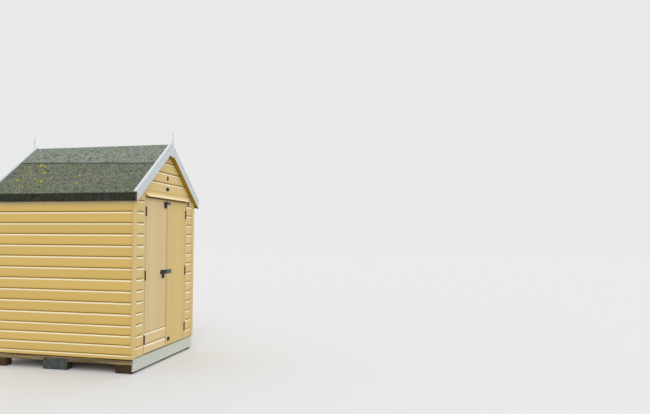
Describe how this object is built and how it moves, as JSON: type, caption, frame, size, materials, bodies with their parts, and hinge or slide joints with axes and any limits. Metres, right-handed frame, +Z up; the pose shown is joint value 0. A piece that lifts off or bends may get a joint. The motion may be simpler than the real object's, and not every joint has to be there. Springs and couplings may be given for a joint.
{
  "type": "beach hut",
  "caption": "Small gabled timber beach hut with shiplap walls, felt roof, white barge boards and finials, and a pair of ledged doors hinged to open outwards.",
  "frame": {"origin": "on the ground, at the centre of the hut's plan", "axes": "+X to the right of someone facing the doors, +Y from the front to the back, +Z up"},
  "size_m": [1.629, 2.124, 2.9872],
  "materials": {
    "cladding_paint": "yellow exterior paint, satin",
    "door_paint": "yellow exterior paint, satin",
    "white_paint": "white exterior paint, satin",
    "plinth_paint": "pale blue-grey paint, satin",
    "roof_felt": "green-grey mineral roofing felt with lichen",
    "bare_timber": "bare sawn softwood",
    "weathered_timber": "weathered grey timber",
    "dark_timber": "dark weathered sleeper timber",
    "galvanised_steel": "galvanised, dull",
    "black_iron": "black japanned iron, weathered",
    "padlock_enamel": "dark blue enamel"
  },
  "bodies": {
    "hut": {"left_wall": "cladding_paint", "right_wall": "cladding_paint", "back_wall": "cladding_paint", "front_wall_left": "cladding_paint", "front_wall_right": "cladding_paint", "front_gable": "cladding_paint", "corner_boards": "cladding_paint", "verge_battens": "cladding_paint", "door_posts": "cladding_paint", "door_head": "cladding_paint", "drip_board": "cladding_paint", "door_sill": "bare_timber", "barge_boards_left": "white_paint", "barge_boards_right": "white_paint", "verge_caps_left": "white_paint", "verge_caps_right": "white_paint", "finials": "white_paint", "front_plinth_board": "plinth_paint", "roof_felt_left": "roof_felt", "roof_felt_right": "roof_felt", "ridge_felt": "roof_felt", "roof_boards_left": "bare_timber", "roof_boards_right": "bare_timber", "eaves_boards": "bare_timber", "roof_beams": "bare_timber", "wall_studs": "bare_timber", "side_wall_plates": "bare_timber", "end_wall_plates": "bare_timber", "floor_boards": "bare_timber", "floor_bearers": "weathered_timber", "support_blocks": "dark_timber", "block_cover_plates": "galvanised_steel", "door_hook": "galvanised_steel", "gable_plates": "black_iron", "frame_hinge_plates": "black_iron"},
    "left_door": {"left_door_boards": "door_paint", "left_door_patch": "door_paint", "left_door_ledges": "bare_timber", "left_door_braces": "bare_timber", "left_door_hinge_plates": "black_iron", "left_door_hasps": "black_iron", "left_door_padlocks": "padlock_enamel"},
    "right_door": {"right_door_boards": "door_paint", "right_door_ledges": "bare_timber", "right_door_braces": "bare_timber", "right_door_hinge_plates": "black_iron", "right_door_hasp_plates": "black_iron", "right_door_bolt": "black_iron"}
  },
  "joints": [
    {"name": "left_door_swing", "type": "hinge", "parent": "hut", "child": "left_door", "pos_m": [-0.5115, -0.996, 1.1355], "axis": [0, 0, -1], "range_deg": [0, 160]},
    {"name": "right_door_swing", "type": "hinge", "parent": "hut", "child": "right_door", "pos_m": [0.5115, -0.996, 1.1355], "axis": [0, 0, 1], "range_deg": [0, 160]}
  ]
}
